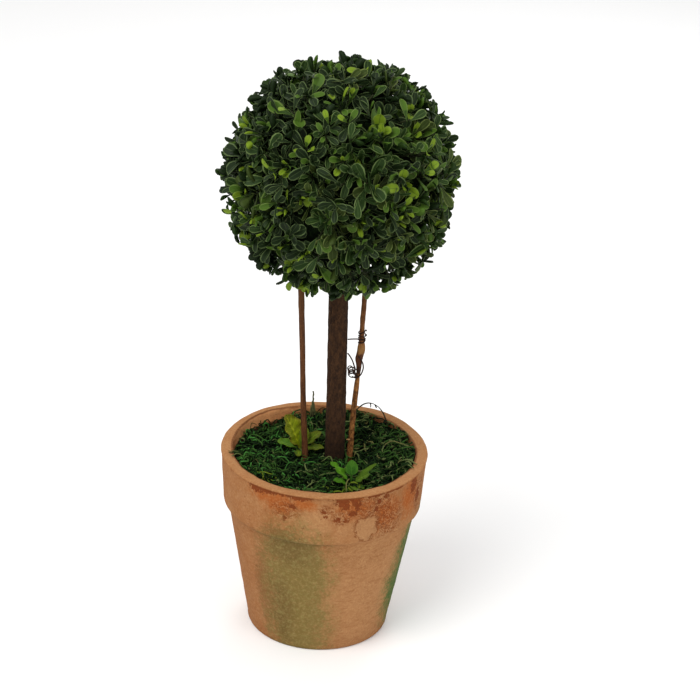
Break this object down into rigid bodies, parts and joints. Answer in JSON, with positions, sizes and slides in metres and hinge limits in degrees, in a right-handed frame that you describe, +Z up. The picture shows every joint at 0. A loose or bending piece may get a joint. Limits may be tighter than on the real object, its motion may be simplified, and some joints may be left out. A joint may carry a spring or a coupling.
{
  "type": "artificial boxwood ball topiary in a terracotta pot",
  "caption": "Artificial clipped boxwood ball on a wooden trunk between two thin vine stems, in a round terracotta pot topped with moss. It stands free.",
  "frame": {"origin": "centre of the pot's flat underside, where it meets the ground", "axes": "+Z up along the pot's axis and the trunk, -Y towards the front, +X to the right as seen from the front"},
  "size_m": [0.1714, 0.1702, 0.445],
  "materials": {
    "terracotta": "matt, weathered",
    "plaster": "matt",
    "moss": "matt, stringy",
    "dark_bark": "matt bark",
    "red_bark": "satin bark",
    "tan_bark": "satin bark",
    "dry_twig": "matt",
    "yellow_leaf": "satin",
    "green_leaf": "satin",
    "boxwood_leaf": "satin"
  },
  "bodies": {
    "root": {"pot": "terracotta", "pot_fill": "plaster", "moss": "moss", "trunk": "dark_bark", "left_stem": "red_bark", "right_stem": "tan_bark", "yellow_plant": "yellow_leaf", "green_plant": "green_leaf", "fallen_tendril": "dry_twig", "dry_stalk": "dry_twig", "boxwood_ball": "boxwood_leaf"}
  },
  "joints": []
}
